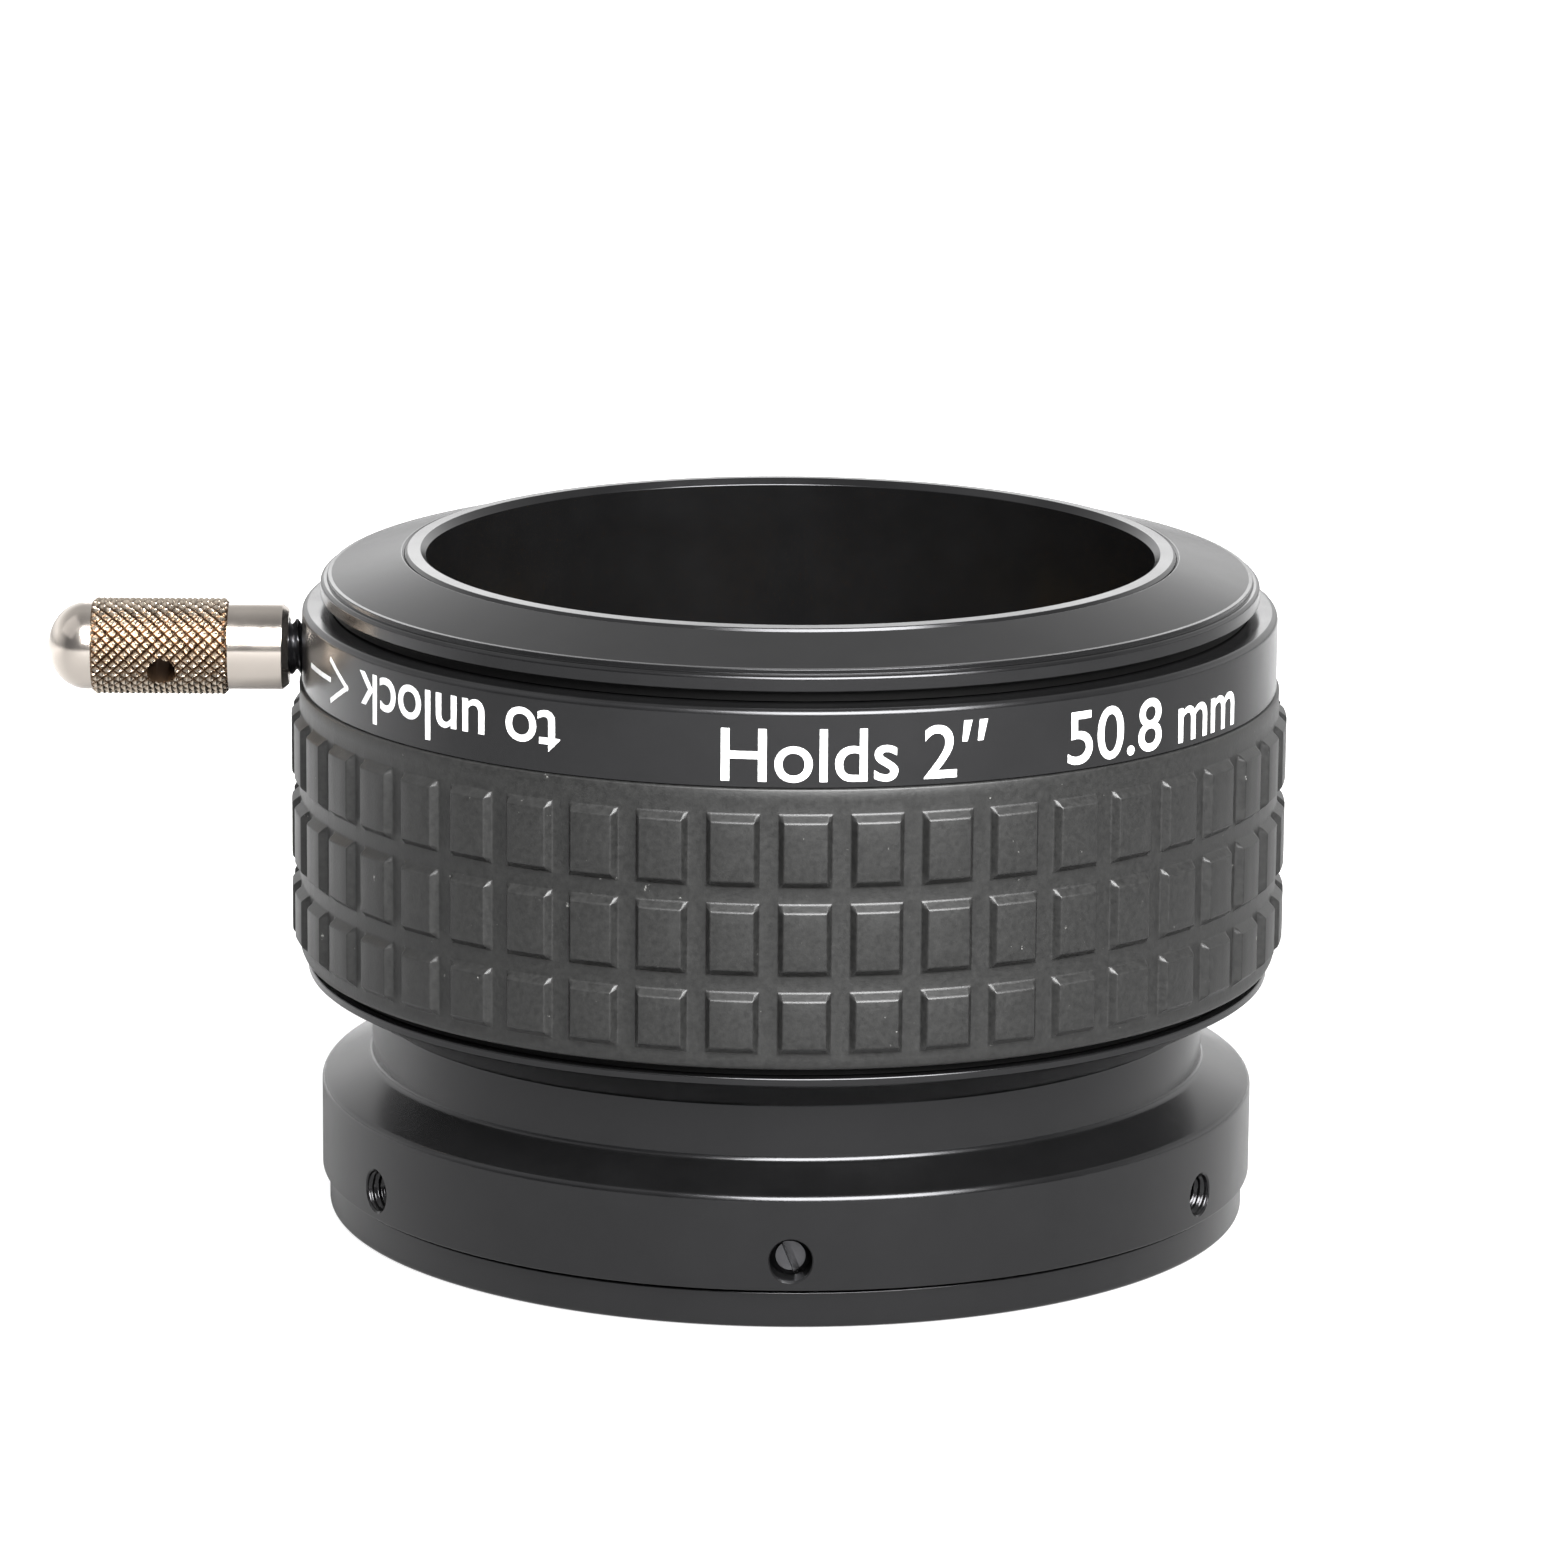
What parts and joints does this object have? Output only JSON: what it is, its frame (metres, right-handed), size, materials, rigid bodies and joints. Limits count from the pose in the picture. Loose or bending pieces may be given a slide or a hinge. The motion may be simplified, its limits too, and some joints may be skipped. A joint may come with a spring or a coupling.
{
  "type": "eyepiece clamp",
  "caption": "Twist-lock clamp for a two inch eyepiece: a knurled lever on a rubber-covered sleeve turns to close brass jaws on the barrel.",
  "frame": {"origin": "on the optical axis, at the bottom face of the base ring", "axes": "+Z along the optical axis towards the eyepiece, the lever along -X when released, the visible grub screw along -Y"},
  "size_m": [0.087, 0.07, 0.047],
  "materials": {
    "black_anodised": "satin black anodised aluminium, turned",
    "sleeve_anodised": "satin black anodised aluminium with white print",
    "grip_rubber": "matt moulded rubber",
    "black_plastic": "matt acetal",
    "brass": "turned brass",
    "ground_steel": "ground steel",
    "spring_steel": "spring wire",
    "black_steel": "blackened steel",
    "nickel_plate": "satin nickel plate, knurled"
  },
  "bodies": {
    "base": {"base_ring": "black_anodised"},
    "clamp_body": {"clamp_body": "black_anodised", "front_ring": "black_anodised", "upper_slip_washer": "black_plastic", "segment_springs": "spring_steel", "stop_pin": "ground_steel"},
    "sleeve": {"twist_sleeve": "sleeve_anodised", "rubber_grip": "grip_rubber", "lower_slip_washer": "black_plastic", "detent_spring": "spring_steel", "lever_handle": "nickel_plate", "lever_stud": "black_steel"},
    "detent": {"detent_ball": "ground_steel"},
    "grub_front": {"grub_screw_front": "black_steel"},
    "grub_right": {"grub_screw_right": "black_steel"},
    "grub_left": {"grub_screw_left": "black_steel"},
    "segment_1": {"clamp_segment_1": "brass"},
    "roller_1": {"roller_1": "ground_steel"},
    "segment_2": {"clamp_segment_2": "brass"},
    "roller_2": {"roller_2": "ground_steel"},
    "segment_3": {"clamp_segment_3": "brass"},
    "roller_3": {"roller_3": "ground_steel"}
  },
  "joints": [
    {"name": "body_rotation", "type": "hinge", "parent": "base", "child": "clamp_body", "pos_m": [0, 0, 0.0048], "axis": [0, 0, 1], "continuous": true},
    {"name": "lock_turn", "type": "hinge", "parent": "clamp_body", "child": "sleeve", "pos_m": [0, 0, 0.03], "axis": [0, 0, 1], "range_deg": [-25, 0]},
    {"name": "detent_press", "type": "slide", "parent": "sleeve", "child": "detent", "axis": [0, 0, 1], "range_m": [0, 0.0003], "deforming": ["detent_spring"]},
    {"name": "grub_front_loosen", "type": "slide", "parent": "clamp_body", "child": "grub_front", "axis": [0, -1, 0], "range_m": [0, 0.001]},
    {"name": "grub_right_loosen", "type": "slide", "parent": "clamp_body", "child": "grub_right", "axis": [0.866, 0.5, 0], "range_m": [0, 0.001]},
    {"name": "grub_left_loosen", "type": "slide", "parent": "clamp_body", "child": "grub_left", "axis": [-0.866, 0.5, 0], "range_m": [0, 0.001]},
    {"name": "segment_1_close", "type": "slide", "parent": "clamp_body", "child": "segment_1", "axis": [0, 1, 0], "range_m": [-0.0004001, 0]},
    {"name": "roller_1_spin", "type": "hinge", "parent": "segment_1", "child": "roller_1", "pos_m": [0, 0.02892, 0.03], "axis": [0, 0, 1], "continuous": true},
    {"name": "segment_2_close", "type": "slide", "parent": "clamp_body", "child": "segment_2", "axis": [-0.866, -0.5, 0], "range_m": [-0.0004001, 0]},
    {"name": "roller_2_spin", "type": "hinge", "parent": "segment_2", "child": "roller_2", "pos_m": [-0.02505, -0.01446, 0.03], "axis": [0, 0, 1], "continuous": true},
    {"name": "segment_3_close", "type": "slide", "parent": "clamp_body", "child": "segment_3", "axis": [0.866, -0.5, 0], "range_m": [-0.0004001, 0]},
    {"name": "roller_3_spin", "type": "hinge", "parent": "segment_3", "child": "roller_3", "pos_m": [0.02505, -0.01446, 0.03], "axis": [0, 0, 1], "continuous": true}
  ],
  "couplings": [
    {"joint": "segment_1_close", "follows": "lock_turn", "m_per_rad": 0.00091673},
    {"joint": "segment_2_close", "follows": "lock_turn", "m_per_rad": 0.00091673},
    {"joint": "segment_3_close", "follows": "lock_turn", "m_per_rad": 0.00091673}
  ]
}
